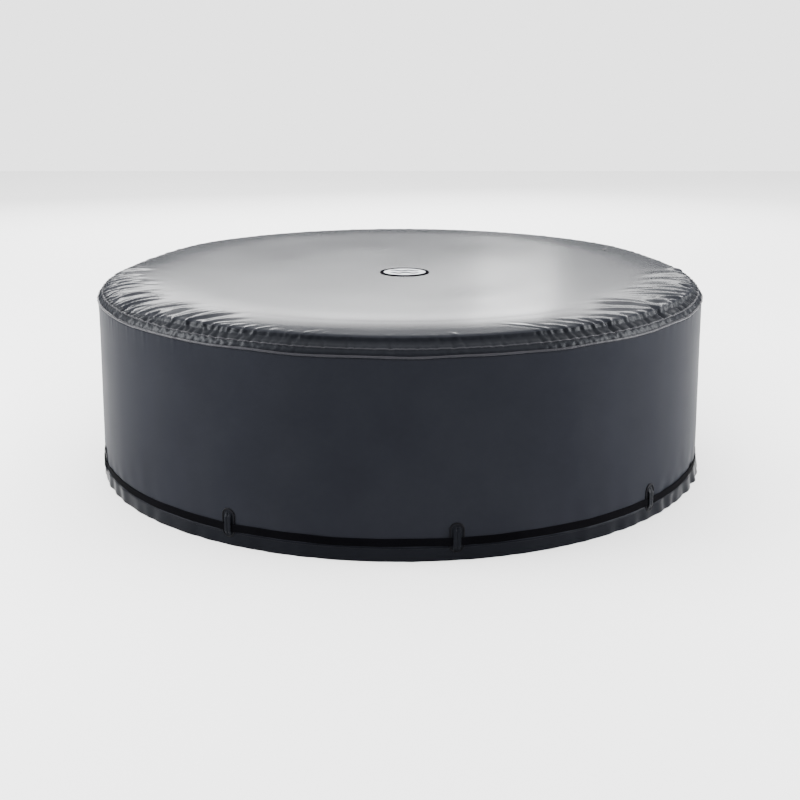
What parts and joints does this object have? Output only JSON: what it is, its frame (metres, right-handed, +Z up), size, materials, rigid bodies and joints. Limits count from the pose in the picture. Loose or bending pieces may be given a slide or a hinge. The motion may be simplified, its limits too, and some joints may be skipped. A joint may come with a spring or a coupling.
{
  "type": "inflatable hot tub",
  "caption": "Round inflatable hot tub with air-filled walls, closed under a fitted dark fabric cover that lifts off and has a cinch strap round its foot.",
  "frame": {"origin": "centre of the round base, on the floor", "axes": "+Z up; the front of the tub faces -Y and +X is to the right of someone who faces the front"},
  "size_m": [2.2314, 2.2422, 0.715],
  "materials": {
    "cover_fabric": "charcoal vinyl-coated polyester, satin",
    "piping": "charcoal welded vinyl piping, satin",
    "webbing": "black woven polyester webbing, matt",
    "badge_dark": "black moulded rim",
    "badge_pale": "pale grey, matt",
    "insulation_foam": "grey closed-cell foam with foil face",
    "lining_film": "pale grey vinyl sheet",
    "bladder_skin": "blue-grey vinyl",
    "tub_skin": "dark grey laminated vinyl, satin",
    "liner_skin": "pale grey laminated vinyl, satin",
    "ground_foam": "blue-grey foam mat",
    "moulded_plastic": "dark grey moulded plastic, fine grain",
    "pale_plastic": "off-white moulded plastic",
    "filter_paper": "white pleated filter paper",
    "seal_rubber": "black rubber",
    "spring_steel": "stainless steel",
    "zip_plastic": "black nylon coil",
    "zip_metal": "grey painted metal"
  },
  "bodies": {
    "tub": {"ground_mat": "ground_foam", "tub_base_panel": "tub_skin", "floor_pad": "liner_skin", "tub_outer_wall": "tub_skin", "tub_inner_wall": "liner_skin", "tub_top_deck": "tub_skin", "wall_beams": "liner_skin", "bubble_ring": "liner_skin", "bubble_air_duct": "moulded_plastic", "wall_handles": "webbing", "water_outlet_pipe": "moulded_plastic", "water_return_pipe": "moulded_plastic", "air_inlet_pipe": "moulded_plastic", "fitting_gaskets": "seal_rubber", "fitting_nuts": "moulded_plastic", "return_strainer": "moulded_plastic", "air_valve_body": "moulded_plastic", "air_valve_spring": "spring_steel", "drain_valve_body": "moulded_plastic"},
    "cover": {"cover_top_panel": "cover_fabric", "cover_gusset": "cover_fabric", "seam_band": "cover_fabric", "cover_skirt": "cover_fabric", "hem_band": "cover_fabric", "piping_upper": "piping", "piping_lower": "piping", "top_insulation": "insulation_foam", "side_insulation": "insulation_foam", "lining_sheet": "lining_film", "lid_bladder": "bladder_skin", "bladder_valve": "pale_plastic", "zip_tape": "webbing", "zip_coil": "zip_plastic", "zip_stops": "zip_metal", "belt_loop_patches": "cover_fabric", "belt_loop_bridges": "cover_fabric", "cinch_strap": "webbing", "strap_tail": "webbing", "buckle_frame": "zip_metal", "buckle_pin": "spring_steel", "badge_rim": "badge_dark", "badge_plate": "badge_pale", "vent_eyelet": "moulded_plastic"},
    "strap_lever": {"buckle_lever": "moulded_plastic"},
    "zip_runner": {"zip_slider": "zip_metal"},
    "zip_tab": {"zip_pull": "zip_metal"},
    "bladder_stopper": {"bladder_valve_plug": "pale_plastic"},
    "air_seal": {"air_valve_seal": "seal_rubber"},
    "air_screw_cap": {"air_valve_cap": "moulded_plastic"},
    "air_poppet": {"air_valve_poppet": "pale_plastic"},
    "drain_seal": {"drain_valve_seal": "seal_rubber"},
    "drain_screw_cap": {"drain_valve_cap": "moulded_plastic"},
    "filter": {"filter_housing": "pale_plastic", "filter_cartridge": "filter_paper"},
    "filter_end_cap": {"filter_cap": "moulded_plastic"}
  },
  "joints": [
    {"name": "cover_lift", "type": "slide", "parent": "tub", "child": "cover", "axis": [0, 0, 1], "range_m": [0, 0.85]},
    {"name": "buckle_lever_swing", "type": "hinge", "parent": "cover", "child": "strap_lever", "pos_m": [0, 1.12253, 0.0625], "axis": [0, 0, 1], "range_deg": [0, 90]},
    {"name": "zip_slide", "type": "slide", "parent": "cover", "child": "zip_runner", "axis": [-1, 0, 0], "range_m": [0, 0.82]},
    {"name": "zip_pull_swing", "type": "hinge", "parent": "zip_runner", "child": "zip_tab", "pos_m": [0.416, -0.52, 0.6312], "axis": [0, 1, 0], "range_deg": [-80, 80]},
    {"name": "bladder_plug_pull", "type": "slide", "parent": "cover", "child": "bladder_stopper", "axis": [0, 0, -1], "range_m": [0, 0.014]},
    {"name": "air_cap_lift", "type": "slide", "parent": "tub", "child": "air_seal", "axis": [-0.7071, 0.7071, 0], "range_m": [0, 0.008]},
    {"name": "air_cap_turn", "type": "hinge", "parent": "air_seal", "child": "air_screw_cap", "pos_m": [-0.74953, 0.74953, 0.288], "axis": [-0.7071, 0.7071, 0], "range_deg": [0, 720]},
    {"name": "air_poppet_press", "type": "slide", "parent": "tub", "child": "air_poppet", "axis": [0.7071, -0.7071, 0], "range_m": [0, 0.005], "stiffness_N_per_m": 400, "deforming": ["air_valve_spring"]},
    {"name": "drain_cap_lift", "type": "slide", "parent": "tub", "child": "drain_seal", "axis": [1, 0, 0], "range_m": [0, 0.008]},
    {"name": "drain_cap_turn", "type": "hinge", "parent": "drain_seal", "child": "drain_screw_cap", "pos_m": [1.06, 0, 0.038], "axis": [1, 0, 0], "range_deg": [0, 720]},
    {"name": "filter_pull", "type": "slide", "parent": "tub", "child": "filter", "axis": [0, -1, 0], "range_m": [0, 0.045]},
    {"name": "filter_cap_twist", "type": "hinge", "parent": "filter", "child": "filter_end_cap", "pos_m": [0, 0.7, 0.288], "axis": [0, -1, 0], "range_deg": [0, 45]}
  ],
  "couplings": [
    {"joint": "air_cap_turn", "follows": "air_cap_lift", "rad_per_m": 1570.8},
    {"joint": "drain_cap_turn", "follows": "drain_cap_lift", "rad_per_m": 1570.8}
  ]
}
